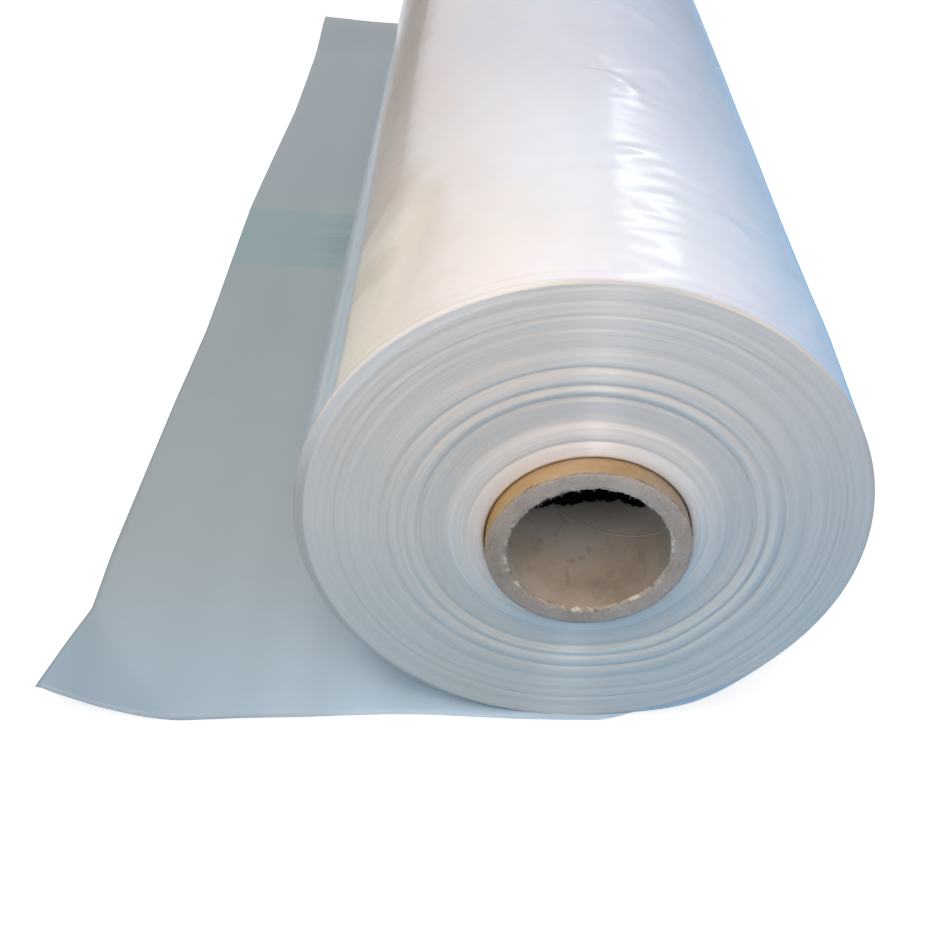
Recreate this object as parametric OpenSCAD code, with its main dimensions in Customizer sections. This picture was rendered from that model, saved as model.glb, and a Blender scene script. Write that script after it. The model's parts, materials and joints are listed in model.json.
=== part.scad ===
// A roll of plastic sheeting lying on its side, with its free end run out flat to the left.
// The film is wound clockwise, seen from the front, on a cardboard core that stands out at both ends.
// X runs across the roll, Y along its axis from front to back, and Z up from the floor.
// The origin is on the floor, under the middle of the roll.

/* [Wound film] */
// Outer diameter of the wound film
roll_d = 270; // [180:5:400]
// Width of the film, which is the length of the roll
film_w = 1100; // [400:10:2000]
// Thickness of the film where it lies loose, with its fold
film_t = 0.4; // [0.2:0.1:1]
// Width of the flat spot that the soft roll has pressed into itself
flat_w = 30; // [10:1:50]

/* [Core] */
// Inner diameter of the cardboard tube
core_bore = 76; // [50:0.5:110]
// Wall thickness of the cardboard tube
core_wall = 10; // [4:0.5:16]
// How far the tube stands out of the film at each end
core_out = 14; // [6:1:40]

/* [Loose end] */
// How far the loose end reaches from the roll's lowest line, at its front corner
tail_l = 275; // [180:5:600]
// How much less the loose end reaches at the back
tail_skew = 12; // [0:1:30]
// How far the loose end has slipped to the front
tail_slip = 15; // [0:1:40]
// Distance from the roll's lowest line at which that slip is complete
slip_run = 205; // [120:5:400]
// Height to which the front corner curls up
corner_lift = 20; // [2:1:40]
// Length of the free edge that rises to this corner
corner_l = 78; // [30:1:120]
// Length of the front edge that rises to this corner
corner_w = 62; // [30:1:120]

/* [End faces] */
// Width of a groove between two bands of turns
groove_w = 1.6; // [0.8:0.2:3]
// Depth of a groove below the lower of its two bands
groove_d = 1; // [0.2:0.2:3]
// Bevel at the outermost turns
rim_bevel = 1.5; // [0.5:0.5:4]
// How far the innermost band has slid along the core
collar_out = 4; // [0:0.5:5]
// How far a band in the middle has slid, at most
band_out = 2; // [0:0.5:4]

/* [Hidden] */

$fn = 180;

roll_r = roll_d / 2;
core_r = core_bore / 2 + core_wall;
wound = roll_r - core_r;
core_l = film_w + 2 * core_out;

// The axis sits a little lower than the radius, because the roll is pressed flat below.
axis_z = sqrt(roll_r * roll_r - flat_w * flat_w / 4);

// Bands of turns that slid together while the film was wound, from the core outwards.
// Each has the share of the wound depth where it ends, and how far it slid to the front.
BANDS = [
    [0.13, collar_out],
    [0.21, 0.8 * band_out],
    [0.36, 0.2 * band_out],
    [0.44, band_out],
    [0.53, 0.8 * band_out],
    [0.64, 0.5 * band_out],
    [0.75, 0.1 * band_out],
    [0.82, 0.4 * band_out],
    [0.90, 0.1 * band_out],
    [1.00, 0.3 * band_out],
];
last_band = len(BANDS) - 1;

// Steps along the two side edges of the loose end, and up its curled corner.
edge_steps = 24;
curl_steps = 12;

// Highest point of the loose end, and a length that is more than enough to cross it.
tail_top = corner_lift + film_t;
across = film_w + tail_l;

// How far a cut runs past the face that it opens.
past = 1;

function band_start(i) = i == 0 ? core_r : core_r + wound * BANDS[i - 1][0] + groove_w / 2;
function band_end(i) = i == last_band ? roll_r - rim_bevel : core_r + wound * BANDS[i][0] - groove_w / 2;

// Radius and slide of the band edges, with the bottom of the groove after each band but the last.
function groove_after(i) = [
    core_r + wound * BANDS[i][0],
    min(BANDS[i][1], BANDS[i + 1][1]) - groove_d
];
SLIDES = concat(
    [for (i = [0 : last_band])
        each concat(
            [[band_start(i), BANDS[i][1]], [band_end(i), BANDS[i][1]]],
            i < last_band ? [groove_after(i)] : []
        )
    ],
    [[roll_r, BANDS[last_band][1] - rim_bevel]]
);
last_slide = len(SLIDES) - 1;

// Every turn has the film's full width, so what stands out in front is missing behind.
// The bevel of the rim is the one place where both ends run back.
function front_y(i) = -film_w / 2 - SLIDES[i][1];
function back_y(i) = film_w / 2 - SLIDES[i][1] - (i == last_slide ? 2 * rim_bevel : 0);

// How far the loose end has slipped to the front, at a distance from the roll's lowest line.
function slip(out) = tail_slip * pow(sin(90 * min(1, out / slip_run)), 2);

// Distance of the front corner from the line along which it bends up, seen from above.
curl_reach = corner_l * corner_w / norm([corner_l, corner_w]);
function curl_z(share) = corner_lift * pow(share, 1.2);

module along_y() {
    rotate([-90, 0, 0])
        children();
}

// All turns of the film, with the bands and grooves of its two ends, as one ring.
module wound_turns() {
    section = concat(
        [for (i = [0 : last_slide]) [SLIDES[i][0], front_y(i)]],
        [for (i = [last_slide : -1 : 0]) [SLIDES[i][0], back_y(i)]]
    );
    translate([0, 0, axis_z])
        along_y()
            rotate_extrude()
                polygon(section);
}

// Everything above the floor, to press the roll flat where it rests.
module above_floor() {
    room = 2 * (film_w + roll_d);
    translate([-room / 2, -room / 2, 0])
        cube([room, room, room]);
}

// Outline of the loose end from above, which slips to the front on its way out.
module tail_outline() {
    front = [for (i = [0 : edge_steps]) i / edge_steps * tail_l];
    back = [for (i = [edge_steps : -1 : 0]) i / edge_steps * (tail_l - tail_skew)];
    polygon(concat(
        [for (out = front) [-out, -film_w / 2 - slip(out)]],
        [for (out = back) [-out, film_w / 2 - slip(out)]]
    ));
}

// Section across the line along which the corner bends up: flat before it, rising after it.
module curl_section() {
    shares = [for (i = [0 : curl_steps]) i / curl_steps];
    polygon(concat(
        [[-across, 0]],
        [for (s = shares) [s * curl_reach, curl_z(s)]],
        [for (i = [curl_steps : -1 : 0]) [shares[i] * curl_reach, curl_z(shares[i]) + film_t]],
        [[-across, film_t]]
    ));
}

module loose_end() {
    bend_start = [-tail_l + corner_w, -film_w / 2 - slip(tail_l)];
    intersection() {
        translate(bend_start)
            rotate([0, 0, 180 + atan(corner_w / corner_l)])
                rotate([90, 0, 0])
                    linear_extrude(height = 2 * across, center = true)
                        curl_section();
        linear_extrude(height = tail_top + past)
            tail_outline();
    }
}

module plastic_film() {
    color([0.87, 0.88, 0.89])
    union() {
        intersection() {
            wound_turns();
            above_floor();
        }
        loose_end();
    }
}

module cardboard_core() {
    color([0.62, 0.56, 0.48])
    translate([0, 0, axis_z])
        along_y()
            difference() {
                cylinder(h = core_l, r = core_r, center = true);
                cylinder(h = core_l + 2 * past, r = core_bore / 2, center = true);
            }
}

plastic_film();
cardboard_core();
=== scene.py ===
import json
import math

import bmesh
import bpy
import numpy as np
from mathutils import Matrix, Vector, noise


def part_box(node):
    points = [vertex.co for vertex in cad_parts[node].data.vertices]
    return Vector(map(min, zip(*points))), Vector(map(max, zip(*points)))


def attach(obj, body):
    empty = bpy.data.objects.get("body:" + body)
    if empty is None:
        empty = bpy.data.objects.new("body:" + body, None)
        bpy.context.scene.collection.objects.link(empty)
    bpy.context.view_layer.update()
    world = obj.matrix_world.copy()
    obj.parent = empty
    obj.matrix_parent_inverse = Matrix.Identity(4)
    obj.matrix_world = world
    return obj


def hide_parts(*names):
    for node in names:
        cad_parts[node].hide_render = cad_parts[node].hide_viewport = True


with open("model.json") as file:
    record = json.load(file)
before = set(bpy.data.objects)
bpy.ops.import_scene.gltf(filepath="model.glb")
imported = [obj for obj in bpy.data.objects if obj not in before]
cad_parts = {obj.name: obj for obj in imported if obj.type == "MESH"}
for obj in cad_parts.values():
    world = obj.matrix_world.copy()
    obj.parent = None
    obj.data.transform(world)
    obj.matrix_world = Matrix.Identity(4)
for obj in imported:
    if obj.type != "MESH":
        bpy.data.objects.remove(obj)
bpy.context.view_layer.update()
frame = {"record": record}

# Sizes in metres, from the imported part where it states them
MM = 0.001
film_low, film_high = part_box("plastic_film")
core_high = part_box("cardboard_core")[1]
ROLL_R = film_high.x
AXIS_Z = film_high.z - ROLL_R
FILM_W = 1.100
FILM_T = 0.4 * MM
CORE_R = core_high.x
CORE_HALF = core_high.y
BORE_R = next(m["dims"]["r_mm"] for m in frame["record"]["mounts"] if m["name"] == "core_bore") * MM
FRONT = -FILM_W / 2
BACK = FILM_W / 2
WOUND = ROLL_R - CORE_R


def smooth(low, high, value):
    """0 below low, 1 above high, and an even curve between them."""
    share = np.clip((value - low) / (high - low), 0, 1)
    return share * share * (3 - 2 * share)


def hump(value, centre, width):
    """1 at the centre, with an even fall to 0 on both sides."""
    return np.exp(-((value - centre) / width) ** 2)


def noise_at(points, scale, seed):
    """Smooth noise from -1 to 1 at each point. scale is a feature's size in metres, or one size per axis."""
    shift = Vector((seed * 7.31, seed * 3.17, seed * 5.53))
    flat = (points / np.asarray(scale)).reshape(-1, 3)
    values = [noise.noise(Vector(p) + shift) for p in flat.tolist()]
    return np.array(values).reshape(points.shape[:-1])


def ridges_at(points, scale, seed):
    """Creases: 1 along thin lines, falling to 0 between them."""
    return 1 - np.minimum(1, 3 * np.abs(noise_at(points, scale, seed)))


def curve(places, points, blur):
    """A line through a short list of (place, value) pairs, with its corners rounded off over this length."""
    grid = np.linspace(points[0][0], points[-1][0], 900)
    step = grid[1] - grid[0]
    reach = max(1, int(3 * blur / step))
    spread = hump(np.arange(-reach, reach + 1) * step, 0, blur)
    padded = np.pad(np.interp(grid, *zip(*points)), reach, mode="edge")
    return np.interp(places, grid, np.convolve(padded, spread / spread.sum(), mode="valid"))


def grid_faces(rows, columns, wrap_rows, wrap_columns):
    """Quads over a grid of points, as rows by columns by four corners, closed on itself where it wraps."""
    index = np.arange(rows * columns).reshape(rows, columns)
    below = np.roll(index, -1, 0) if wrap_rows else index[1:]
    this = index if wrap_rows else index[:-1]
    if wrap_columns:
        return np.stack([this, np.roll(this, -1, 1), np.roll(below, -1, 1), below], -1)
    return np.stack([this[:, :-1], this[:, 1:], below[:, 1:], below[:, :-1]], -1)


def make_piece(name, points, faces, materials, material_of_face=None):
    """A mesh with its faces turned outwards and shaded smooth, put in the scene."""
    mesh = bpy.data.meshes.new(name)
    mesh.from_pydata(points, [], faces)
    for material in materials:
        mesh.materials.append(material)
    if material_of_face is not None:
        mesh.polygons.foreach_set("material_index", np.asarray(material_of_face, np.int32))
    work = bmesh.new()
    work.from_mesh(mesh)
    bmesh.ops.recalc_face_normals(work, faces=work.faces)
    work.to_mesh(mesh)
    work.free()
    mesh.polygons.foreach_set("use_smooth", np.ones(len(mesh.polygons), bool))
    mesh.update()
    piece = bpy.data.objects.new(name, mesh)
    bpy.context.scene.collection.objects.link(piece)
    return piece


# Materials

class Shader:
    """A material whose nodes are added by name. An input is a number, a colour or another node's output."""

    def __init__(self, name):
        self.material = bpy.data.materials.new(name)
        self.material.use_nodes = True
        self.tree = self.material.node_tree
        self.surface = self.tree.nodes["Principled BSDF"]

    def node(self, kind, inputs=(), **settings):
        made = self.tree.nodes.new(kind)
        for key, value in settings.items():
            setattr(made, key, value)
        for key, value in dict(inputs).items():
            self.feed(made.inputs[key], value)
        return made

    def feed(self, socket, value):
        if isinstance(value, bpy.types.NodeSocket):
            self.tree.links.new(value, socket)
        elif isinstance(value, tuple) and socket.type == "RGBA":
            socket.default_value = (*value, 1)
        else:
            socket.default_value = value

    def dress(self, inputs):
        """Feeds the named inputs of the surface, and returns the finished material."""
        for name, value in inputs.items():
            self.feed(self.surface.inputs[name], value)
        return self.material

    def math(self, operation, first, second=0.0):
        return self.node("ShaderNodeMath", {0: first, 1: second}, operation=operation).outputs[0]

    def add(self, first, second):
        return self.math("ADD", first, second)

    def minus(self, first, second):
        return self.math("SUBTRACT", first, second)

    def times(self, first, second):
        return self.math("MULTIPLY", first, second)

    def over(self, first, second):
        return self.math("DIVIDE", first, second)

    def apart(self, first, second):
        """How far two values lie apart, whichever is the larger."""
        return self.math("ABSOLUTE", self.minus(first, second))

    def noise(self, coordinates, scale, detail=3.0, roughness=0.5, distortion=0.0):
        made = self.node("ShaderNodeTexNoise", {
            "Vector": coordinates, "Scale": scale, "Detail": detail,
            "Roughness": roughness, "Distortion": distortion,
        })
        return made.outputs[0]

    def ramp(self, value, stops, ease="EASE"):
        """stops are (position, colour) or (position, grey)."""
        made = self.node("ShaderNodeValToRGB", {0: value})
        ramp = made.color_ramp
        ramp.interpolation = ease
        while len(ramp.elements) < len(stops):
            ramp.elements.new(0.5)
        for element, (position, colour) in zip(ramp.elements, stops):
            element.position = position
            element.color = (*colour, 1) if hasattr(colour, "__len__") else (colour, colour, colour, 1)
        return made.outputs[0]

    def mix(self, share, first, second, blend="MIX"):
        inputs = {0: share, 6: first, 7: second}
        return self.node("ShaderNodeMix", inputs, data_type="RGBA", blend_type=blend).outputs[2]

    def scaled(self, coordinates, scale):
        made = self.node("ShaderNodeVectorMath", {0: coordinates, 1: scale}, operation="MULTIPLY")
        return made.outputs[0]

    def bump(self, height, distance, strength=1.0, normal=None):
        inputs = {"Height": height, "Distance": distance, "Strength": strength}
        if normal is not None:
            inputs["Normal"] = normal
        return self.node("ShaderNodeBump", inputs).outputs[0]

    def place(self):
        """Sets the point in metres, its x and y, and z, radius and angle in turns about the roll's axis."""
        self.point = self.node("ShaderNodeTexCoord").outputs["Object"]
        split = self.node("ShaderNodeSeparateXYZ", {0: self.point})
        self.x, self.y = split.outputs[0], split.outputs[1]
        self.z = self.minus(split.outputs[2], AXIS_Z)
        self.radius = self.math("SQRT", self.add(self.times(self.x, self.x), self.times(self.z, self.z)))
        self.turn = self.over(self.math("ARCTAN2", self.z, self.x), 2 * math.pi)

    def combine(self, x, y, z):
        return self.node("ShaderNodeCombineXYZ", {0: x, 1: y, 2: z}).outputs[0]

    def along_radius(self, radius, scale, arc):
        """Coordinates that change fast along the radius and slowly round the axis."""
        across = self.combine(0.0, self.times(radius, scale), 0.0)
        return self.node("ShaderNodeVectorMath", {0: arc, 1: across}, operation="ADD").outputs[0]

    def span(self, value, start, end):
        """0 at start, 1 at end, with an even curve between them. start may be the larger one."""
        low, at_low = min((start, 0.0), (end, 1.0))
        high, at_high = max((start, 0.0), (end, 1.0))
        inputs = {"Value": value, "From Min": low, "From Max": high, "To Min": at_low, "To Max": at_high}
        return self.node("ShaderNodeMapRange", inputs, interpolation_type="SMOOTHSTEP").outputs[0]


def turns(degrees):
    """An angle as a share of a full turn."""
    return degrees / 360


# How strongly film bends light
FILM_IOR = 1.5


def film_side_material():
    """The outermost turn: milky, glossy film, with painted light in its colour: a cool reflection on the
    right, warm cream light on the left and a beige reflection far left.
    """
    s = Shader("film_side")
    s.place()
    around = s.times(s.turn, 2 * math.pi * ROLL_R)
    flat = s.combine(around, s.y, 0.0)
    depth = s.minus(s.y, FRONT)
    wander = s.minus(s.noise(s.point, 11.0, 4.0, 0.6), 0.5)
    ragged = s.minus(s.noise(flat, 45.0, 4.0, 0.7), 0.5)

    # Painted light: from warm cream to cool grey, with a painted blue reflection near the right edge, further
    # left the further back. Each tone stands at an angle in degrees.
    back = s.span(depth, 0.02, 0.34)
    moved = s.minus(s.times(wander, 0.10), s.times(back, turns(20)))
    cool_at = s.add(s.turn, s.times(s.span(s.turn, turns(34), turns(72)), moved))
    painted_light_tones = [
        (-100, (0.80, 0.70, 0.63)), (-15, (0.78, 0.72, 0.68)), (26, (0.66, 0.71, 0.76)),
        (33, (0.48, 0.65, 0.84)), (38, (0.60, 0.735, 0.90)), (50, (0.64, 0.77, 0.95)),
        (64, (0.68, 0.76, 0.92)), (78, (0.72, 0.78, 0.905)), (92, (0.75, 0.775, 0.855)),
        (112, (0.78, 0.735, 0.735)), (128, (0.70, 0.615, 0.545)), (160, (0.70, 0.62, 0.535)),
    ]
    shade = s.ramp(s.add(cool_at, 0.5), [(0.5 + turns(degrees), tone) for degrees, tone in painted_light_tones])
    shade = s.mix(s.span(depth, 0.08, 0.34), shade, (0.93, 0.88, 0.88), "MULTIPLY")
    far_right = s.times(s.span(depth, 0.22, 0.46), s.span(s.turn, turns(74), turns(46)))
    shade = s.mix(far_right, shade, (0.80, 0.77, 0.77), "MULTIPLY")

    # A yellower tongue and fold near the front end, left of the cream
    near = s.span(s.add(depth, s.times(wander, 0.08)), 0.17, 0.11)
    wandering = s.add(s.turn, s.times(wander, 0.05))
    yellow = s.times(near, s.span(wandering, turns(126), turns(139)))
    shade = s.mix(yellow, shade, (0.86, 0.79, 0.68))
    tongue_line = s.times(s.add(ragged, wander), 0.06)
    tongue = s.span(s.apart(s.add(depth, tongue_line), 0.082), 0.030, 0.012)
    tongue = s.times(tongue, s.span(s.turn, turns(127), turns(134)))
    colour = s.mix(s.times(tongue, 0.45), shade, (0.66, 0.57, 0.46))

    # The painted beige reflection ends along a line that runs to the left near the front end
    line = s.add(turns(147.5), s.times(s.span(depth, 0.115, 0.165), turns(-11)))
    line = s.add(line, s.times(ragged, 0.007))
    line = s.add(line, s.times(wander, 0.016))
    beige = s.span(s.minus(s.turn, line), -0.0015, 0.0035)
    beige_reflection_tone = s.mix(s.span(depth, 0.16, 0.46), (0.67, 0.575, 0.505), (0.51, 0.43, 0.375))
    colour = s.mix(beige, colour, beige_reflection_tone)

    # Left of these zones the flank is darker and blue-grey, as painted shade, with a bluer line along its
    # border
    grey_line = s.add(s.turn, s.times(ragged, 0.008))
    grey_line = s.minus(grey_line, s.times(s.span(depth, 0.06, 0.50), turns(9)))
    flank = s.mix(s.span(s.turn, turns(160), turns(179)), (0.50, 0.58, 0.63), (0.78, 0.69, 0.62))
    colour = s.mix(s.span(grey_line, turns(146), turns(149)), colour, flank)
    border = s.span(s.apart(grey_line, turns(149.8)), turns(2.2), turns(0.5))
    colour = s.mix(s.times(border, 0.7), colour, (0.57, 0.72, 0.84))

    # Two faint lines beside the front rim, where the outermost turns end
    rim_line = s.add(depth, s.times(ragged, 3 * MM))
    for place, strength in ((3.0 * MM, 0.30), (9.5 * MM, 0.18)):
        beside = s.span(s.apart(rim_line, place), 1.4 * MM, 0.2 * MM)
        colour = s.mix(s.times(beside, strength), colour, (0.55, 0.54, 0.53))
    colour = s.mix(s.span(depth, 2.6 * MM, 0.8 * MM), colour, (0.80, 0.80, 0.82), "MULTIPLY")

    # Faint clouds of brightness and tint
    cloud = s.noise(s.scaled(s.point, (1.0, 0.45, 1.0)), 14.0, 4.0, 0.55)
    colour = s.mix(0.5, colour, s.ramp(cloud, [(0.3, 0.86), (0.7, 1.0)]), "MULTIPLY")
    tint = s.noise(s.scaled(s.point, (1.0, 0.5, 1.0)), 21.0, 3.0, 0.6)
    tints = s.ramp(tint, [(0.35, (1.0, 0.96, 0.95)), (0.5, (0.98, 0.98, 0.98)), (0.65, (0.95, 0.985, 0.97))])
    colour = s.mix(0.7, colour, tints, "MULTIPLY")

    # Glossier on the right, whose edge mirrors the room
    roughness = s.add(0.12, s.times(s.noise(flat, 55.0, 3.0, 0.6), 0.14))
    glossier = s.add(0.35, s.times(s.span(s.turn, turns(31), turns(46)), 0.65))
    creases = s.noise(s.scaled(flat, (0.45, 1.2, 1.0)), 42.0, 3.0, 0.5, 0.8)
    fine = s.noise(s.scaled(flat, (0.6, 1.1, 1.0)), 240.0, 2.0, 0.5, 0.3)
    return s.dress({
        "Base Color": colour, "Roughness": s.times(roughness, glossier), "IOR": FILM_IOR,
        "Normal": s.bump(fine, 0.2 * MM, 0.10, s.bump(creases, 1.0 * MM, 0.16)),
    })


# How far the edges of the turns stand out to the front, from the core outwards: radius and height in mm.
# The steps and grooves are those of the part's source, softened.
RELIEF = [
    (48.0, 4.5), (50.0, 4.6), (53.0, 4.3), (55.4, 3.7), (56.5, 2.6), (57.5, 3.1),
    (60.0, 2.9), (62.5, 2.5), (64.3, 2.3), (65.8, 0.9), (70.0, 0.5), (77.0, 0.8), (78.6, -0.3),
    (80.3, 1.1), (82.5, 2.0), (84.3, 1.6), (85.5, 0.2), (87.0, 1.5), (89.0, 1.9), (92.2, 1.5), (94.0, 0.1),
    (95.6, 1.1), (98.0, 1.2), (101.0, 0.8), (103.5, 0.35), (107.0, 0.6), (112.0, 0.7), (113.5, 0.3),
    (115.0, 0.65), (118.3, 0.8), (119.5, 0.2), (120.8, 0.65), (125.0, 0.6), (126.5, 0.35),
    (128.0, 0.6), (135.0, 0.6),
]

# Lines on the end face, darker or lighter than the turns beside them: painted shade in the grooves and
# painted light on the crests. Each has a radius and half width in mm, and a tone
RING_LIGHT_AND_SHADE = [
    (64.3, 0.9, 1.0), (78.6, 0.8, 0.80), (82.0, 0.9, 1.0), (85.3, 0.6, 0.82), (87.6, 0.9, 1.0),
    (94.0, 0.7, 0.80), (97.0, 1.0, 1.0), (103.3, 1.2, 0.87), (113.5, 1.0, 0.87), (119.4, 0.6, 0.80),
]


def film_end_material():
    """The edges of the turns: a pale collar at the core, and fine rings of different tone and height."""
    s = Shader("film_end")
    s.place()
    drift = s.times(s.minus(s.noise(s.point, 7.0, 2.0), 0.5), 2.4 * MM)
    radius = s.add(s.radius, drift)
    arc = s.scaled(s.point, (9.0, 0.0, 9.0))
    wide = s.noise(s.along_radius(radius, 190.0, arc), 1.0, 3.0, 0.7)
    thin = s.noise(s.along_radius(radius, 800.0, arc), 1.0, 2.0, 0.6)
    # Tone by radius. The darker tone next to the core is painted shade in the gap beside the collar, and the
    # darker tone at the outer rim is painted shade that damps the rim's highlight.
    tone = s.ramp(s.over(s.radius, ROLL_R), [
        (0.355, (0.62, 0.59, 0.56)),
        (0.37, (0.92, 0.91, 0.91)),
        (0.415, (0.92, 0.915, 0.915)),
        (0.43, (0.84, 0.825, 0.81)),
        (0.475, (0.79, 0.78, 0.775)),
        (0.50, (0.69, 0.69, 0.69)),
        (0.57, (0.70, 0.70, 0.695)),
        (0.60, (0.75, 0.745, 0.735)),
        (0.72, (0.735, 0.73, 0.72)),
        (0.985, (0.735, 0.73, 0.72)),
        (0.994, (0.50, 0.51, 0.52)),
    ])
    # Painted shade in the grooves and painted light on the crests, by radius
    plain = 0.93
    stops = [(0.34, plain)]
    for ring, half, value in RING_LIGHT_AND_SHADE:
        for off, level in ((-half, plain), (0, value), (half, plain)):
            stops.append(((ring + off) * MM / ROLL_R, level))
    lines = s.ramp(s.over(radius, ROLL_R), stops, "LINEAR")
    rings = s.ramp(wide, [(0.30, 0.93), (0.5, 0.98), (0.68, 1.0)])
    hair = s.ramp(thin, [(0.3, 0.94), (0.6, 1.0)])
    colour = s.mix(1.0, s.mix(1.0, tone, rings, "MULTIPLY"), hair, "MULTIPLY")
    colour = s.mix(1.0, colour, lines, "MULTIPLY")
    # Painted light: warmer and brighter towards the top, and bluer towards the bottom, where light from the
    # floor falls
    upper = s.mix(s.span(s.z, -0.09, 0.06), (0.95, 0.99, 1.0), (1.08, 1.03, 1.0))
    colour = s.mix(1.0, colour, upper, "MULTIPLY")
    # Painted shade on the left, warmer and deeper on the collar
    collar = s.span(s.radius, 0.060, 0.054)
    left = s.mix(collar, (0.99, 0.945, 0.90), (0.92, 0.82, 0.75))
    colour = s.mix(s.span(s.x, 0.03, -0.055), colour, left, "MULTIPLY")

    # The frayed lip of the outermost turns, upper left
    frayed = s.minus(s.noise(s.point, 160.0, 4.0, 0.7), 0.5)
    lip_edge = s.add(s.radius, s.times(frayed, 4 * MM))
    outermost = s.span(lip_edge, ROLL_R - 3.6 * MM, ROLL_R - 2.2 * MM)
    upper_left = s.times(s.span(s.turn, turns(88), turns(115)), s.span(s.turn, turns(176), turns(150)))
    colour = s.mix(s.times(s.times(outermost, upper_left), 0.8), colour, (0.80, 0.755, 0.715))

    # A painted blue reflection on the same turns at the lower right
    painted_reflection_lower_right = s.times(s.span(s.turn, turns(-92), turns(-66)), s.span(s.turn, turns(0), turns(-42)))
    edge = s.times(s.span(lip_edge, ROLL_R - 3.0 * MM, ROLL_R + 1.0 * MM), painted_reflection_lower_right)
    colour = s.mix(s.times(edge, 0.8), colour, (0.43, 0.64, 0.82))
    return s.dress({
        "Base Color": colour, "Roughness": 0.42, "IOR": FILM_IOR, "Specular IOR Level": 0.9,
        "Normal": s.bump(thin, 0.25 * MM, 0.5, s.bump(wide, 0.8 * MM, 0.4)),
        "Anisotropic": 1.0, "Anisotropic Rotation": 0.25,
        "Tangent": s.node("ShaderNodeTangent", direction_type="RADIAL", axis="Y").outputs[0],
    })


def film_loose_material():
    """The loose end: a single lay of film, so it is thinner, greyer and bluer than the roll."""
    s = Shader("film_loose")
    s.place()
    depth = s.minus(s.y, FRONT)
    cloud = s.noise(s.scaled(s.point, (1.0, 0.6, 1.0)), 6.0, 3.0, 0.5)
    colour = s.ramp(cloud, [
        (0.30, (0.34, 0.39, 0.425)),
        (0.50, (0.355, 0.415, 0.45)),
        (0.70, (0.36, 0.435, 0.47)),
    ])
    colour = s.mix(s.span(depth, 0.54, 0.66), colour, (0.345, 0.405, 0.45))

    # A teal band across the sheet, with darker streaks near the roll
    wavy = s.add(depth, s.times(s.noise(s.point, 16.0, 2.0), 12 * MM))
    rise = s.span(wavy, 0.470, 0.478)
    fall = s.span(wavy, 0.580, 0.572)
    streak = s.noise(s.scaled(s.point, (4.0, 60.0, 1.0)), 1.0, 3.0, 0.6)
    near_roll = s.span(s.x, -0.215, -0.15)
    dark = s.times(near_roll, s.ramp(streak, [(0.40, 1.0), (0.60, 0.0)]))
    teal = s.mix(dark, (0.275, 0.395, 0.44), (0.19, 0.31, 0.325))
    colour = s.mix(s.times(s.times(rise, fall), 0.85), colour, teal)

    # Bluer along the front edge. Beside the roll the sheet is painted paler, as painted light that lifts the
    # roll's shadow on it
    colour = s.mix(s.times(s.span(depth, 0.13, -0.02), 0.75), colour, (0.345, 0.475, 0.60))
    # Painted light beside the roll, which lifts the roll's shadow on the sheet
    painted_light_gain = 1.82
    painted_light_levels = [
        (-0.220, 0.50), (-0.180, 0.56), (-0.140, 0.67), (-0.100, 0.95),
        (-0.060, 1.0), (-0.035, 0.98), (-0.005, 0.90),
    ]
    beside = s.ramp(s.add(s.x, 1.0), [(1.0 + x, level) for x, level in painted_light_levels])
    colour = s.mix(1.0, s.mix(1.0, colour, (painted_light_gain, painted_light_gain, painted_light_gain), "MULTIPLY"), beside, "MULTIPLY")
    creases = s.noise(s.scaled(s.point, (1.4, 0.5, 1.0)), 26.0, 3.0, 0.5, 0.5)
    fine = s.noise(s.point, 240.0, 2.0, 0.5)
    return s.dress({
        "Base Color": colour, "Roughness": 0.34, "IOR": FILM_IOR,
        "Normal": s.bump(fine, 0.15 * MM, 0.2, s.bump(creases, 1.0 * MM, 0.3)),
    })


def board_bump(s, coarse, fine):
    """Rough board with finer fibres along the tube. coarse and fine are their heights."""
    rough = s.noise(s.point, 900.0, 3.0, 0.65)
    fibres = s.noise(s.scaled(s.point, (1.0, 0.35, 1.0)), 2600.0, 2.0, 0.6)
    return s.bump(fibres, fine, 0.6, s.bump(rough, coarse, 0.7))


def core_outer_material():
    """The outer ply: tan kraft paper, more orange on the upper left, and greyer and darker on the upper right
    as painted shade.
    """
    s = Shader("core_outer_ply")
    s.place()
    cloud = s.noise(s.point, 60.0, 4.0, 0.6)
    colour = s.ramp(cloud, [
        (0.3, (0.39, 0.25, 0.12)), (0.55, (0.48, 0.33, 0.185)), (0.75, (0.53, 0.40, 0.27)),
    ])
    colour = s.mix(s.times(s.span(s.turn, turns(95), turns(165)), 0.5), colour, (0.56, 0.33, 0.08))
    # Painted shade on the upper right
    colour = s.mix(s.times(s.span(s.turn, turns(85), turns(35)), 0.8), colour, (0.38, 0.31, 0.25))
    return s.dress({"Base Color": colour, "Roughness": 0.6, "Normal": board_bump(s, 0.10 * MM, 0.05 * MM)})


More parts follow.
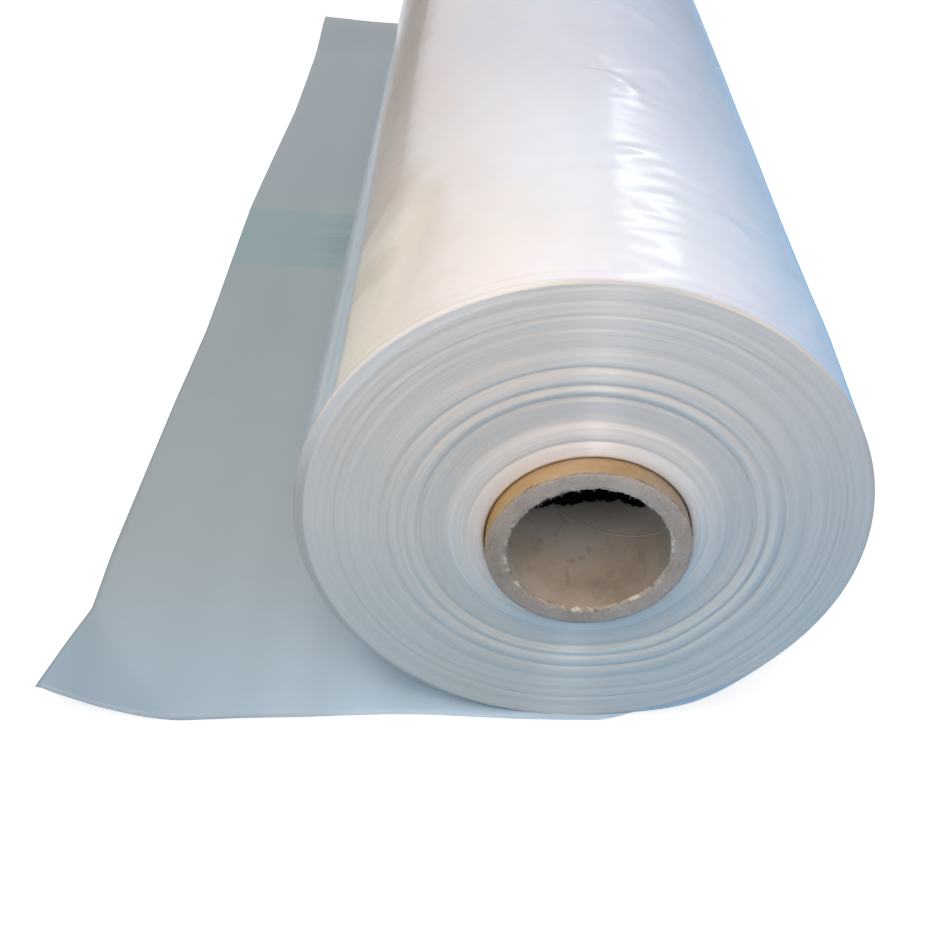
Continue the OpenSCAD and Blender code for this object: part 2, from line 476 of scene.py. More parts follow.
def core_end_material():
    """The sawn end: grey chipboard with plies, pale fibres, and dark spots painted as the shade in pits."""
    s = Shader("core_sawn_end")
    s.place()
    drift = s.times(s.noise(s.point, 90.0, 2.0), 1.0 * MM)
    plies = s.noise(s.combine(s.add(s.radius, drift), 0.0, 0.0), 900.0, 2.0, 0.6)
    cloud = s.noise(s.point, 45.0, 4.0, 0.6)
    specks = s.noise(s.point, 1100.0, 2.0, 0.6)
    colour = s.ramp(cloud, [
        (0.3, (0.43, 0.345, 0.285)), (0.5, (0.53, 0.425, 0.36)), (0.7, (0.61, 0.495, 0.415)),
    ])
    colour = s.mix(1.0, colour, s.ramp(plies, [(0.35, 0.86), (0.6, 1.0)]), "MULTIPLY")
    colour = s.mix(s.ramp(specks, [(0.60, 0.0), (0.74, 0.5)]), colour, (0.88, 0.82, 0.72))
    colour = s.mix(s.ramp(specks, [(0.24, 0.5), (0.36, 0.0)]), colour, (0.22, 0.16, 0.12))
    # Painted shade on the left of the sawn end
    colour = s.mix(s.span(s.x, 0.0, -0.042), colour, (0.90, 0.85, 0.80), "MULTIPLY")

    # Torn pale fibre along the inner rim, and dark spots there painted as the shade in small pits, most on
    # the right and upper left
    patchy = s.noise(s.point, 150.0, 3.0, 0.65)
    rim = s.span(s.add(s.radius, s.times(drift, 1.5)), BORE_R + 3.6 * MM, BORE_R + 0.8 * MM)
    pale = s.times(rim, s.ramp(patchy, [(0.50, 0.0), (0.62, 0.9)]))
    colour = s.mix(pale, colour, (0.86, 0.79, 0.66))
    pits = s.times(rim, s.ramp(s.noise(s.point, 420.0, 2.0, 0.6), [(0.34, 0.85), (0.44, 0.0)]))
    colour = s.mix(pits, colour, (0.20, 0.14, 0.09))
    return s.dress({"Base Color": colour, "Roughness": 0.9, "Normal": board_bump(s, 0.45 * MM, 0.15 * MM)})


def core_fibre_material():
    """Pale loose fibres, some cream and some nearly white."""
    s = Shader("core_fibre")
    s.place()
    cloud = s.noise(s.point, 350.0, 1.0)
    colour = s.ramp(cloud, [(0.35, (0.62, 0.49, 0.33)), (0.6, (0.92, 0.87, 0.77))])
    normal = s.bump(s.noise(s.point, 4000.0, 2.0), 0.05 * MM, 0.5)
    return s.dress({"Base Color": colour, "Roughness": 0.8, "Normal": normal})


# Spiral seam of the inner ply: the angle at the mouth where it starts, and its pitch along the tube
SEAM_START = 39
SEAM_PITCH = 0.182

# Marks on the inner ply: angle in degrees, then depth from the mouth, width and length in millimetres
MARKS = [
    (-95, 34, 3.6, 3.6), (-98, 22, 2.2, 12.0), (-86, 37, 3.0, 3.0), (-120, 43, 3.4, 3.4),
    (-80, 42, 2.6, 5.0), (-131, 17, 2.8, 5.0), (-74, 17, 7.0, 7.0), (-66, 22, 5.0, 4.0), (-38, 24, 3.4, 8.0),
]


def core_bore_material():
    """The inner ply: grey-brown board with a spiral seam, stains and small marks, with painted light deeper
    in and on the left, and painted shade on the right.
    """
    s = Shader("core_inner_ply")
    s.place()
    depth = s.add(s.y, CORE_HALF)
    cloud = s.noise(s.point, 32.0, 4.0, 0.6)
    colour = s.ramp(cloud, [
        (0.30, (0.48, 0.385, 0.30)), (0.5, (0.60, 0.495, 0.40)), (0.7, (0.71, 0.595, 0.48)),
    ])
    # Painted light: paler deeper in, where little light reaches
    colour = s.mix(s.times(s.span(depth, 0.022, 0.060), 0.9), colour, (0.93, 0.87, 0.79))
    # Painted light on the left side of the bore and painted shade on its right
    side = s.mix(s.span(s.x, 0.034, -0.036), (0.66, 0.66, 0.67), (1.08, 1.10, 1.14))
    colour = s.mix(1.0, colour, side, "MULTIPLY")
    stains = s.noise(s.scaled(s.point, (1.0, 0.6, 1.0)), 62.0, 4.0, 0.65)
    colour = s.mix(s.ramp(stains, [(0.52, 0.0), (0.72, 0.42)]), colour, (0.36, 0.27, 0.195))
    wobble = s.times(s.minus(s.noise(s.point, 300.0, 3.0, 0.6), 0.5), 4 * MM)
    across = s.add(s.times(s.turn, 2 * math.pi * BORE_R), wobble)
    deep = s.add(depth, wobble)
    for angle, mark_depth, width, length in MARKS:
        off_across = s.over(s.minus(across, math.radians(angle) * BORE_R), width * MM / 2)
        off_deep = s.over(s.minus(deep, mark_depth * MM), length * MM / 2)
        far = s.add(s.times(off_across, off_across), s.times(off_deep, off_deep))
        colour = s.mix(s.times(s.span(far, 2.6, 0.0), 0.30), colour, (0.20, 0.14, 0.105))
    spiral = s.add(s.minus(s.turn, turns(SEAM_START)), s.over(depth, SEAM_PITCH))
    seam = s.span(s.apart(s.math("FRACT", spiral), 0.5), 0.4945, 0.4985)
    colour = s.mix(s.times(seam, 0.28), colour, (0.80, 0.70, 0.59))
    normal = s.bump(seam, 0.35 * MM, 0.6, board_bump(s, 0.14 * MM, 0.05 * MM))
    return s.dress({"Base Color": colour, "Roughness": 0.75, "Normal": normal})


def core_torn_shadow_material():
    """What shows behind the torn edge of the inner ply: ragged board, painted near black as the shadow deep
    in the tube.
    """
    s = Shader("core_torn_painted_shadow")
    s.place()
    cloud = s.noise(s.point, 120.0, 3.0, 0.6)
    return s.dress({
        "Base Color": s.ramp(cloud, [(0.3, (0.004, 0.003, 0.003)), (0.7, (0.014, 0.010, 0.008))]),
        "Roughness": 0.95, "Specular IOR Level": 0.1, "Normal": board_bump(s, 0.4 * MM, 0.1 * MM),
    })


# The wound film

COLUMNS = 240

# The soft roll isn't quite round. In front it lies to the left of the core, and at the back to the right.
FILM_SHIFT = -2.9 * MM
FRONT_SHIFT = 1.0 * MM
BACK_SHIFT = 4.6 * MM
FOOT_BULGE = 4.5 * MM
RIGHT_BULGE = 0.8 * MM
LEFT_DENT = 2.6 * MM
OVAL = 0.9 * MM


def around(columns):
    """Angles about the axis. 0 is to the right, a quarter turn is up, and the grid's seam is at the floor."""
    return np.linspace(-math.pi / 2, 3 * math.pi / 2, columns, endpoint=False)


def on_roll(angle, radius, y):
    """Points at these angles, radii and places along the axis, as one array."""
    angle, radius, y = np.broadcast_arrays(angle, radius, y)
    return np.stack([radius * np.cos(angle), y, AXIS_Z + radius * np.sin(angle)], -1)


def outer_radius(angle, y):
    """Radius of the wound film about the core's axis."""
    back = (y - FRONT) / FILM_W
    near_front = smooth(0.0, 0.08, back)

    def swelling(centre, width):
        return hump(angle, math.radians(centre), math.radians(width))

    shift = FILM_SHIFT + FRONT_SHIFT * near_front + BACK_SHIFT * back
    radius = ROLL_R + shift * np.cos(angle) + OVAL * np.cos(2 * (angle - math.radians(140)))
    radius = radius + FOOT_BULGE * (1 - 0.65 * smooth(0.05, 0.5, back)) * swelling(-60, 13)
    radius = radius + RIGHT_BULGE * near_front * (1 - smooth(0.04, 0.16, back)) * swelling(32, 24)
    return radius - LEFT_DENT * smooth(0.1, 0.6, back) * swelling(158, 34)


# Single creases and dents of the outermost turn. For each end there is an angle in degrees and a depth from
# the front end in mm, and then come its height and half width in mm.
CREASES = [
    (97, 242, 83, 229, -0.95, 4.5), (91, 233, 80, 216, 1.14, 4.5), (81, 217, 79, 194, 0.855, 5.0),
    (97, 147, 89, 147, 0.665, 3.0), (88, 127, 81, 133, 1.045, 4.0), (99, 110, 88, 114, -0.57, 4.0),
    (66, 95, 53, 103, -1.14, 4.5), (66, 86, 58, 79, 0.665, 5.0), (64, 213, 56, 229, -0.95, 5.0),
    (71, 256, 64, 224, 0.665, 6.0), (62, 264, 47, 240, -0.855, 6.0), (50, 74, 40, 93, -1.14, 5.0),
    (50, 134, 43, 143, 0.855, 4.5), (94, 274, 85, 250, 0.76, 7.0), (70, 310, 58, 345, -0.76, 8.0),
    (78, 360, 62, 330, 0.855, 8.0), (66, 420, 50, 380, -0.95, 9.0), (60, 500, 46, 450, 0.95, 10.0),
    (131, 150, 116, 225, 0.57, 9.0), (126, 262, 108, 330, 0.665, 9.0), (133, 40, 121, 120, -0.665, 8.0),
    (122, 400, 104, 470, -0.665, 11.0), (112, 90, 99, 150, 0.342, 8.0),
    (104, 268, 96, 262, 0.76, 4.0), (100, 255, 92, 247, -0.76, 4.0), (106, 230, 97, 226, 0.57, 4.0),
    (104, 168, 95, 160, 0.665, 4.0), (44, 190, 36, 150, -0.95, 6.0), (57, 178, 47, 200, 0.76, 6.0),
    (48, 30, 40, 62, 0.855, 6.0), (60, 12, 48, 40, -0.665, 6.0), (54, 290, 42, 262, 0.855, 7.0),
]


def wrinkles(angle, y):
    """How far the outermost turn stands out or in: slow waves, puckers on two slants, and long creases."""
    at = on_roll(angle, ROLL_R, y)
    arc = angle * ROLL_R + 0 * y
    along = y + 0 * arc

    def slanted(degrees, length, width):
        """Waves that run round the roll at a slant, each about this long and wide."""
        lean = math.radians(degrees)
        run = (arc * math.cos(lean) + along * math.sin(lean)) / length
        cross = (along * math.cos(lean) - arc * math.sin(lean)) / width
        return np.stack([run, cross, 0 * run], -1)

    slow = noise_at(at, 0.11, 1) * 0.9 * MM
    depth = y - FRONT
    calmer = smooth(0.08, 0.16, depth) * (1 - 0.4 * hump(depth, 0.20, 0.04))
    near_top = hump(angle, math.radians(81), math.radians(15)) * (1 - calmer)
    patches = smooth(-0.15, 0.30, noise_at(at, 0.035, 2))
    strength = 0.03 + 0.04 * patches + near_top * (0.30 + 0.26 * patches)
    puckers = noise_at(slanted(-24, 0.050, 0.0105), 1.0, 3) + noise_at(slanted(14, 0.034, 0.0085), 1.0, 4)
    right = hump(angle, math.radians(56), math.radians(19))
    creases = ridges_at(slanted(-34, 0.12, 0.028), 1.0, 5) * smooth(-0.1, 0.3, noise_at(at, 0.12, 6))
    height = slow + puckers * strength * MM + creases * (0.08 + 0.62 * right) * MM
    for angle_from, depth_from, angle_to, depth_to, rise, half in CREASES:
        start = np.array([math.radians(angle_from) * ROLL_R, FRONT + depth_from * MM])
        run = np.array([math.radians(angle_to) * ROLL_R, FRONT + depth_to * MM]) - start
        length = math.hypot(*run)
        share = ((arc - start[0]) * run[0] + (along - start[1]) * run[1]) / length ** 2
        aside = ((arc - start[0]) * run[1] - (along - start[1]) * run[0]) / length
        aside = aside + 0.15 * length * (share - 0.5) ** 2
        height = height + rise * MM * hump(aside, 0, half * MM) * hump(share, 0.5, 0.5)
    away_from_floor = smooth(math.radians(12), math.radians(45), np.abs(angle + math.pi / 2))
    return height * away_from_floor


def relief(share, angle):
    """How far the turns stand out to the front at a share of the wound depth."""
    at = on_roll(angle, CORE_R + share * WOUND, 0.0)
    slow = at[..., [0, 2]] / 0.10
    rings = np.stack([share * WOUND / (6 * MM) + 0 * angle, slow[..., 0], slow[..., 1]], -1)
    thin_rings = rings * np.array([4, 1, 1])
    radius = (CORE_R + share * WOUND) / MM + 0.8 * noise_at(rings, 1.0, 7)
    height = curve(radius, RELIEF, 0.4) * MM * (1 + 0.18 * noise_at(rings, 1.0, 8))
    return height + 0.12 * MM * noise_at(thin_rings, 1.0, 6)


def end_stations(count):
    """Shares of the wound depth from the rim to the core, closer together at both."""
    even = np.linspace(1, 0, count)
    rim = [1 - x * MM / WOUND for x in (0.15, 0.4, 0.8, 1.3)]
    lip = [x * MM / WOUND for x in (0.2, 0.5, 0.9, 1.5, 2.1)]
    return np.array(sorted(set(np.round(np.concatenate([even, rim, lip]), 5)), reverse=True))


def film_turns(side, end):
    """The wound film as one closed ring: its outer side, its front end, its hidden bore and its back end."""
    angle = around(COLUMNS)[None, :]
    end_gap = 2 * MM
    seen_to = FRONT + 0.38
    fine_rows = np.arange(FRONT + end_gap, seen_to, 3.0 * MM)
    coarse_rows = np.linspace(seen_to, BACK - end_gap, 96)
    along = np.concatenate([coarse_rows[::-1], fine_rows[::-1]])[:, None]
    calm = 12 * MM
    fade = smooth(0, calm, along - FRONT) * smooth(0, calm, BACK - along)
    radius = outer_radius(angle, along) + wrinkles(angle, along) * (0.25 + 0.75 * fade)
    rows = [on_roll(angle, radius, along)]

    rounding = 1.0 * MM
    lip = 2.2 * MM
    innermost = CORE_R + 0.3 * MM
    for count, sign, edge in ((110, -1, FRONT), (44, 1, BACK)):
        share = end_stations(count)[:, None]
        depth = (1 - share) * WOUND
        inward = share * WOUND
        rim_drop = rounding - np.sqrt(np.maximum(0, rounding ** 2 - np.maximum(0, rounding - depth) ** 2))
        lip_drop = lip - np.sqrt(np.maximum(0, lip ** 2 - np.maximum(0, lip - inward) ** 2))
        radius = innermost + share * (outer_radius(angle, edge) - innermost)
        face = edge - relief(share, angle) - sign * (rim_drop + lip_drop)
        ring = on_roll(angle, radius, face)
        rows.append(ring if sign < 0 else ring[::-1])
        if sign < 0:
            hidden = np.array([[FRONT + 0.03], [0.0], [BACK - 0.03]])
            rows.append(on_roll(angle, CORE_R + 0.05 * MM, hidden))
    points = np.concatenate(rows)
    points[..., 2] = np.maximum(points[..., 2], FILM_T)
    side_rows = len(rows[0]) - 1
    of_row = np.ones(len(points), int)
    of_row[:side_rows] = 0
    faces = grid_faces(len(points), COLUMNS, True, True).reshape(-1, 4).tolist()
    points = points.reshape(-1, 3).tolist()
    return make_piece("film_turns", points, faces, [side, end], np.repeat(of_row, COLUMNS))


# The loose end

TAIL_L = -film_low.x
WRAP = 38 * MM
CORNER_LIFT = 20 * MM
CORNER_L = 78 * MM
CORNER_W = 70 * MM
BACK_LIFT = 6.8 * MM

# How far the free edge lies from the roll's lowest line, at a distance from the front corner, in mm
FREE_EDGE = [
    (0, 278.4), (40, 275.4), (76, 272.3), (80, 272.4), (120, 272.7), (200, 270.4), (285, 268.3),
    (375, 264.6), (585, 264.0), (695, 259.5), (815, 254.3), (965, 252.6), (1100, 254.4),
]

# How far the sheet has slipped to the front, at a distance to the left of the roll's lowest line, in mm
SLIPPED = [
    (-38, -0.5), (-26, 3.0), (-15, 3.8), (6, 4.5), (28, 4.9), (50, 4.6), (72, 4.3), (93, 5.3), (115, 7.5),
    (136, 9.8), (157, 11.2), (178, 12.8), (200, 14.8), (222, 15.4), (245, 15.2), (265, 14.8), (275, 12.4),
]


def film_loose_end(material):
    """One thin closed sheet from the roll's lower right to the free edge, with its front corner curled up."""
    rows = 250
    under_roll = np.linspace(-1, 0, 12, endpoint=False)
    outside = np.linspace(0, 1, 72) ** 0.9
    share = np.concatenate([under_roll, outside])[None, :]
    across = np.linspace(0, 1, rows)[:, None]
    from_front = across * FILM_W
    reach = curve(from_front / MM, FREE_EDGE, 3.0) * MM
    out = np.where(share < 0, share * WRAP, share * reach)
    slip = curve(np.where(share < 0, share * WRAP, share * TAIL_L) / MM, SLIPPED, 5.0) * MM
    x = -out + 0 * from_front
    y = FRONT + from_front - slip

    along_front = (x + TAIL_L) / CORNER_W
    along_free = (y - FRONT + slip) / CORNER_L + 0 * x
    past_bend = np.clip(1 - np.maximum(0, along_front) - along_free, 0, 1)
    curl = CORNER_LIFT * past_bend ** (1.0 + 0.5 * smooth(0.0, 0.4, along_front))

    clear = smooth(0.045, 0.14, -x)
    lying = np.stack([x, y, 0 * x], -1)
    calmer = 1 - 0.6 * smooth(0.7, 1.0, share)
    waves = np.maximum(0, noise_at(lying, (0.16, 0.20, 1), 11) + 0.15) * 2.4 * MM * calmer
    ripples = np.maximum(0, noise_at(lying, (0.30, 0.045, 1), 12)) * 0.7 * MM
    free_edge = smooth(0.75, 1.0, share) * (0.9 + 0.5 * np.sin(from_front * 13)) * MM
    back_edge = BACK_LIFT * smooth(0.90, 1.0, across) * smooth(0.3, 1.0, share)
    z = clear * (waves + ripples + free_edge) + back_edge + curl + FILM_T

    # On the right the sheet follows the underside of the roll
    angle = -math.pi / 2 + np.maximum(0, x) / ROLL_R
    under_side = AXIS_Z + outer_radius(angle, y) * np.sin(angle)
    z = np.where(x > 0, np.maximum(under_side - 0.1 * MM, FILM_T), z)
    top = np.stack([x, y, z], -1)
    under = top - np.array([0, 0, FILM_T])
    return sheet_shell("film_loose_end", top, under, material)


def sheet_shell(name, top, under, material):
    """A closed shell between two sheets of points with the same rows and columns."""
    rows, columns = top.shape[:2]
    count = rows * columns
    index = np.arange(count).reshape(rows, columns)
    faces = grid_faces(rows, columns, False, False).reshape(-1, 4)
    rim = np.concatenate([index[0, :], index[1:, -1], index[-1, -2::-1], index[-2:0:-1, 0]])
    after = np.roll(rim, -1)
    edge = np.stack([rim, after, after + count, rim + count], -1)
    faces = np.concatenate([faces, faces + count, edge])
    points = np.concatenate([top.reshape(-1, 3), under.reshape(-1, 3)])
    return make_piece(name, points.tolist(), faces.tolist(), [material])


# The core

CORE_COLUMNS = 480

# Places in the tube's list of materials
OUTER_PLY, SAWN_END, INNER_PLY, TORN_SHADOW, FIBRE = range(5)

# How deep in the bore the torn edge of the inner ply lies, at an angle in degrees, in mm from the mouth
TORN = [
    (-90, 78), (-87, 78), (-78, 81), (-66, 79), (-53, 73), (-43, 65), (-31, 56), (-22, 51), (0, 48), (90, 46),
    (180, 48), (210, 53), (224, 59), (236, 65), (247, 72), (256, 77), (270, 78),
]


def tear_depth(angle):
    """How deep in the bore the inner ply's torn edge lies, with its teeth."""
    ring = np.stack([np.cos(angle), np.sin(angle), 0 * angle], -1)
    teeth = noise_at(ring, 0.16, 21) * 2.6 * MM + noise_at(ring, 0.06, 22) * 2.2 * MM
    return curve(np.degrees(angle), TORN, 3.0) * MM + teeth


def loose_fibres(count, seed):
    """Fibres that stand off the rims of the sawn front end: slender prisms that taper to a point."""
    random = np.random.default_rng(seed)
    points, faces = [], []
    for _ in range(count):
        angle = random.choice([random.uniform(0, 360), random.normal(140, 30), random.normal(0, 28)])
        on_inner_rim = random.random() < 0.7
        radius = BORE_R + 0.5 * MM if on_inner_rim else CORE_R - 0.7 * MM
        start = on_roll(math.radians(angle), radius, -CORE_HALF + 0.6 * MM)
        outwards = on_roll(math.radians(angle), 1.0, 0.0) - np.array([0, 0, AXIS_Z])
        lean = random.uniform(-0.9, 0.3) if on_inner_rim else random.uniform(-0.3, 0.9)
        course = np.array([0, -0.6, 0]) + lean * outwards
        course = course + random.uniform(-0.8, 0.8) * np.cross(outwards, [0, 1, 0])
        course = course / np.linalg.norm(course) * random.uniform(0.7, 2.3) * MM
        bend = random.normal(0, 0.25, 3) * MM
        first = len(points)
        for station, thick in ((0.0, 0.11), (0.5, 0.09)):
            centre = start + station * course + station ** 2 * bend
            for side in range(3):
                turn = 2 * math.pi * side / 3
                aside = np.cross(outwards, course / np.linalg.norm(course))
                offset = math.cos(turn) * outwards + math.sin(turn) * aside
                points.append((centre + thick * MM * offset).tolist())
        points.append((start + course + bend).tolist())
        a, b, tip = first, first + 3, first + 6
        faces.append([a, a + 1, a + 2])
        for side in range(3):
            after = (side + 1) % 3
            faces.append([a + side, a + after, b + after, b + side])
            faces.append([b + side, b + after, tip])
    return points, faces


def cardboard_core(outer, sawn, bore, torn, fibre):
    """The tube as one closed ring: outer ply, sawn front, inner ply with its torn edge, and sawn back."""
    angle = around(CORE_COLUMNS)[None, :]
    ply = 0.9 * MM
    rows, of_row = [], []

    def add(radius, y, material):
        ring = on_roll(angle, radius, y)
        rows.append(ring)
        of_row.extend([material] * len(ring))

    def chips(radius, seed, size):
        at = on_roll(angle, radius, 0.0)
        return noise_at(at, 1.5 * MM, seed) * size + noise_at(at, 6 * MM, seed + 1) * size

    along = np.array([[CORE_HALF - 2 * MM], [CORE_HALF - 12 * MM], [0.2], [-0.2]])
    near = np.linspace(-CORE_HALF + 24 * MM, -CORE_HALF + 0.7 * MM, 14)[:, None]
    add(CORE_R, along, OUTER_PLY)
    dents = noise_at(on_roll(angle, CORE_R, near), 18 * MM, 31) * 0.18 * MM
    worn = 0.1 * MM + 0.2 * MM * hump(near, -CORE_HALF, 1.5 * MM)
    add(CORE_R + dents - worn, near, OUTER_PLY)

    # Faces take the material of their first row, so the last row before the sawn end is sawn board
    of_row[-1] = SAWN_END
    for sign, count in ((-1, 15), (1, 9)):
        share = np.linspace(0, 1, count)[:, None]
        radius = CORE_R - 0.5 * MM - share * (CORE_R - BORE_R - 0.7 * MM)
        radius = radius + chips(radius, 33, 0.50 * MM)
        face = sign * (CORE_HALF - 0.1 * MM) - sign * np.abs(chips(radius, 35, 0.65 * MM))
        round_off = 0.6 * MM * (hump(share, 0, 0.07) + hump(share, 1, 0.07))
        ring = on_roll(angle, radius, face - sign * round_off)
        if sign < 0:
            rows.append(ring)
            of_row.extend([SAWN_END] * count)
            mouth = np.linspace(0, 1, 44)[1:, None]
            edge = tear_depth(angle)
            depth = 0.8 * MM + mouth * (edge - 0.8 * MM)
            wall = BORE_R + noise_at(on_roll(angle, BORE_R, depth), 30 * MM, 37) * 0.12 * MM
            wall = wall + 0.25 * MM * (1 - mouth) ** 6
            add(wall, -CORE_HALF + depth, INNER_PLY)

            # Behind its torn edge the inner ply is missing, and starts again further in. The board there is
            # painted near black as shadow.
            add(BORE_R + ply, -CORE_HALF + edge + 0.2 * MM, TORN_SHADOW)
            ragged = np.array([[3], [8], [15], [30], [60], [110], [150]]) * MM
            add(BORE_R + ply * (1 + 0.2 * np.sin(angle * 5)), -CORE_HALF + edge + ragged, TORN_SHADOW)
            add(BORE_R, -CORE_HALF + edge + 155 * MM, INNER_PLY)
            add(BORE_R, np.array([[0.1], [0.4], [CORE_HALF - 6 * MM], [CORE_HALF - 1.2 * MM]]), INNER_PLY)
        else:
            rows.append(ring[::-1])
            of_row.extend([SAWN_END] * count)
    tube = np.concatenate(rows)
    points = tube.reshape(-1, 3).tolist()
    faces = grid_faces(len(tube), CORE_COLUMNS, True, True).reshape(-1, 4).tolist()
    of_face = np.repeat(of_row, CORE_COLUMNS).tolist()
    more_points, more_faces = loose_fibres(count=260, seed=41)
    faces.extend([corner + len(points) for corner in face] for face in more_faces)
    of_face.extend([FIBRE] * len(more_faces))
    return make_piece("core_tube", points + more_points, faces, [outer, sawn, bore, torn, fibre], of_face)


# The scene around the part

def window(name, place, aim, size, colour, strength):
    """A soft rectangular lamp that shines from its place towards aim, and that the camera doesn't see."""
    lamp = bpy.data.lights.new(name, "AREA")
    lamp.shape = "RECTANGLE"
    lamp.size, lamp.size_y = size
    lamp.color = colour
    lamp.energy = strength * size[0] * size[1] * math.pi
    made = bpy.data.objects.new(name, lamp)
    made.location = place
    made.rotation_euler = (Vector(aim) - Vector(place)).to_track_quat("-Z", "Y").to_euler()
    made.visible_camera = False
    bpy.context.scene.collection.objects.link(made)
    return made


def seen_rays(tree):
    """1 for camera, mirror and glass rays, and 0 for the light that falls on the part."""
    path = tree.nodes.new("ShaderNodeLightPath")
    seen = path.outputs["Is Camera Ray"]
    for other in ("Is Glossy Ray", "Is Transmission Ray"):
        either = tree.nodes.new("ShaderNodeMath")
        either.operation = "MAXIMUM"
        tree.links.new(seen, either.inputs[0])
        tree.links.new(path.outputs[other], either.inputs[1])
        seen = either.outputs[0]
    return seen


def make_world():
    """Soft, even light on the part, and plain white where the camera and mirrors look past it."""
    world = bpy.data.worlds.new("studio")
    bpy.context.scene.world = world
    world.use_nodes = True
    tree = world.node_tree
    tree.nodes.clear()
    output = tree.nodes.new("ShaderNodeOutputWorld")
    soft = tree.nodes.new("ShaderNodeBackground")
    soft.inputs["Color"].default_value = (0.95, 0.97, 1.0, 1)
    soft.inputs["Strength"].default_value = 0.26
    white = tree.nodes.new("ShaderNodeBackground")
    white.inputs["Color"].default_value = (1, 1, 1, 1)
    white.inputs["Strength"].default_value = 1.0
    mix = tree.nodes.new("ShaderNodeMixShader")
    tree.links.new(seen_rays(tree), mix.inputs[0])
    tree.links.new(soft.outputs[0], mix.inputs[1])
    tree.links.new(white.outputs[0], mix.inputs[2])
    tree.links.new(mix.outputs[0], output.inputs["Surface"])


def make_floor():
    """A wide plain floor. It throws back pale blue light, and is seen white with the part's shadow."""
    half = 6.0
    drop = 0.3 * MM
    points = [(x, y, -drop) for y in (-half, half) for x in (-half, half)]
    material = bpy.data.materials.new("floor")
    material.use_nodes = True
    tree = material.node_tree
    tree.nodes.clear()
    output = tree.nodes.new("ShaderNodeOutputMaterial")
    plain = tree.nodes.new("ShaderNodeBsdfDiffuse")
    plain.inputs["Color"].default_value = (0.24, 0.58, 0.92, 1)
    pale = tree.nodes.new("ShaderNodeBsdfDiffuse")
    pale.inputs["Color"].default_value = (0.42, 0.42, 0.42, 1)
    glow = tree.nodes.new("ShaderNodeEmission")
    glow.inputs["Strength"].default_value = 0.80
    seen = tree.nodes.new("ShaderNodeAddShader")
    tree.links.new(pale.outputs[0], seen.inputs[0])
    tree.links.new(glow.outputs[0], seen.inputs[1])
    mix = tree.nodes.new("ShaderNodeMixShader")
    tree.links.new(seen_rays(tree), mix.inputs[0])
    tree.links.new(plain.outputs[0], mix.inputs[1])
    tree.links.new(seen.outputs[0], mix.inputs[2])
    tree.links.new(mix.outputs[0], output.inputs["Surface"])
    make_piece("floor", points, [[0, 1, 3, 2]], [material])


def make_lights():
    window("overhead", (0.0, 0.2, 2.3), (0, 0.1, 0), (2.2, 2.6), (1.0, 0.985, 0.965), 1.7)
    window("warm_left", (-1.6, 0.1, 1.2), (0, 0, 0.15), (1.6, 2.2), (1.0, 0.88, 0.76), 0.2)
    window("front_fill", (-1.1, -1.7, 0.7), (-0.1, -0.5, 0.05), (1.3, 0.9), (0.92, 0.97, 1.0), 0.35)

    # This lamp only lights, and isn't mirrored
    warm = (1.0, 0.88, 0.78)
    front_top = window("front_top", (-0.12, -0.88, 0.66), (-0.02, -0.55, 0.2), (0.4, 0.3), warm, 5.9)
    front_top.visible_glossy = False

    # These two are only mirrored: in the roll's top, and in its front end
    white = (1.0, 1.0, 1.0)
    for gleam in (
        window("glint_behind", (0.77, 1.80, 1.28), (0, -0.45, 0.25), (0.60, 0.12), white, 7.0),
        window("glint_front", (0.24, -2.6, 1.1), (0, -0.5, 0.15), (0.36, 1.9), white, 5.6),
    ):
        gleam.visible_diffuse = False


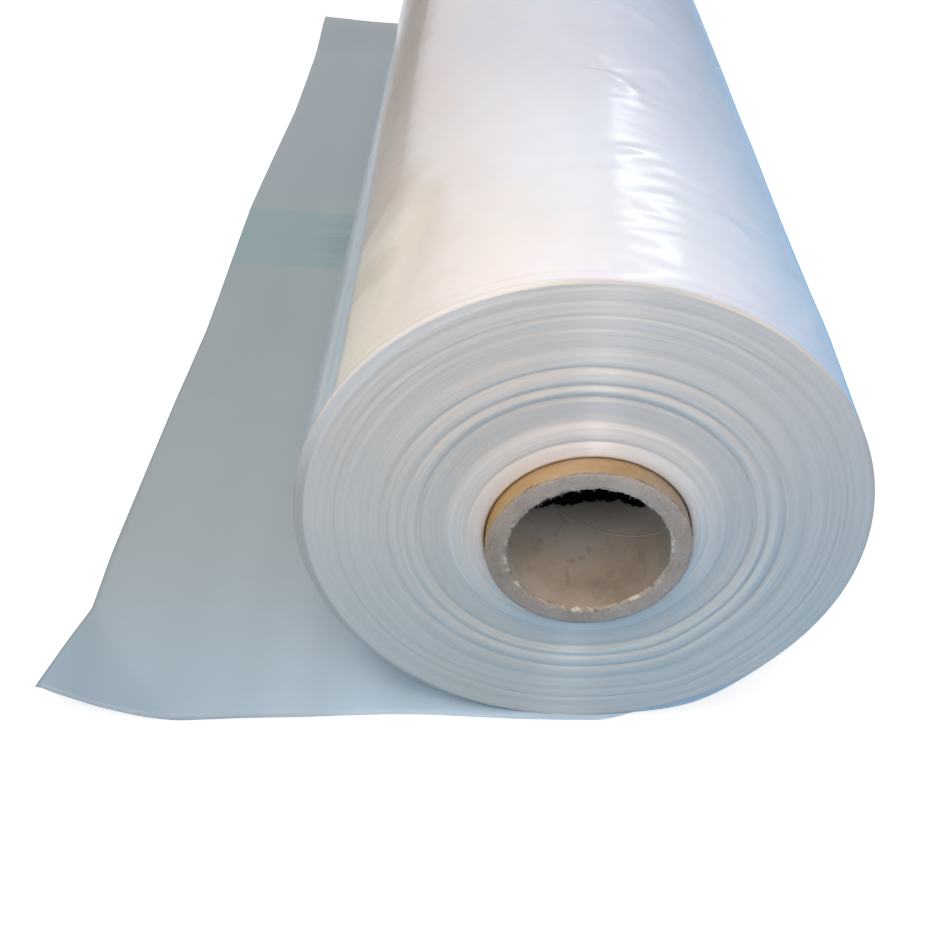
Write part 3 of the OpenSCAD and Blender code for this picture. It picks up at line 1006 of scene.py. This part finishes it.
def reflected_card(name, place, turn, length, height, low, high):
    """A plain card that only mirror rays meet. It fades from one colour at its foot to another at its top."""
    points = [(x, 0, z) for z in (0, height) for x in (-length / 2, length / 2)]
    material = bpy.data.materials.new(name)
    material.use_nodes = True
    tree = material.node_tree
    tree.nodes.clear()
    local = tree.nodes.new("ShaderNodeSeparateXYZ")
    tree.links.new(tree.nodes.new("ShaderNodeTexCoord").outputs["Object"], local.inputs[0])
    fade = tree.nodes.new("ShaderNodeMapRange")
    fade.inputs["From Max"].default_value = height
    tree.links.new(local.outputs[2], fade.inputs["Value"])
    mix = tree.nodes.new("ShaderNodeMix")
    mix.data_type = "RGBA"
    tree.links.new(fade.outputs[0], mix.inputs[0])
    mix.inputs[6].default_value = (*low, 1)
    mix.inputs[7].default_value = (*high, 1)
    glow = tree.nodes.new("ShaderNodeEmission")
    tree.links.new(mix.outputs[2], glow.inputs["Color"])
    output = tree.nodes.new("ShaderNodeOutputMaterial")
    tree.links.new(glow.outputs[0], output.inputs["Surface"])
    card = make_piece(name, points, [[0, 1, 3, 2]], [material])
    card.location = place
    card.rotation_euler = turn
    card.visible_camera = False
    card.visible_diffuse = False
    card.visible_shadow = False


def make_cards():
    """What the film mirrors of the room: a wall on the right, and strips of the floor on both sides."""
    upright = (0, 0, math.radians(-40))
    to_left = (math.radians(90), 0, math.radians(-90))
    to_right = (math.radians(90), 0, math.radians(90))
    under = -0.1 * MM
    for card in (
        ("right_card", (1.25, 1.1, -0.02), upright, 3.4, 0.85, (0.46, 0.58, 0.74), (0.80, 0.83, 0.93)),
        ("beige_card", (-0.29, 1.6, under), to_left, 5.0, 5.0, (0.38, 0.37, 0.36), (0.55, 0.45, 0.37)),
        ("blue_card", (0.14, 0.6, under), to_right, 3.0, 0.145, (0.02, 0.36, 0.76), (0.12, 0.43, 0.78)),
        ("pale_card", (0.285, 0.6, under), to_right, 3.0, 1.6, (0.43, 0.61, 0.85), (0.48, 0.60, 0.77)),
    ):
        reflected_card(*card)


def make_camera():
    """The photograph's view: place, angles in degrees, and focal length in widths of the frame."""
    place = (-0.0616, FRONT - 0.3978, 0.4984)
    pitch, yaw, roll = -39.51, 0.64, 2.75
    focal = 1144.7 / 937
    camera = bpy.data.cameras.new("camera")
    camera.sensor_width = 36
    camera.lens = focal * camera.sensor_width
    camera.clip_start = 0.02
    made = bpy.data.objects.new("camera", camera)
    look = Matrix.Rotation(math.radians(-yaw), 4, "Z") @ Matrix.Rotation(math.radians(90 + pitch), 4, "X")
    made.matrix_world = Matrix.Translation(place) @ look @ Matrix.Rotation(math.radians(roll), 4, "Z")
    bpy.context.scene.collection.objects.link(made)
    bpy.context.scene.camera = made


bpy.context.scene.view_settings.view_transform = "Standard"
make_camera()
make_world()
make_floor()
make_lights()
make_cards()

turns_piece = film_turns(film_side_material(), film_end_material())
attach(turns_piece, "root")
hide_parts("plastic_film")

loose_piece = film_loose_end(film_loose_material())
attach(loose_piece, "root")
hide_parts("plastic_film")

core_piece = cardboard_core(
    core_outer_material(), core_end_material(), core_bore_material(),
    core_torn_shadow_material(), core_fibre_material(),
)
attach(core_piece, "root")
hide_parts("cardboard_core")
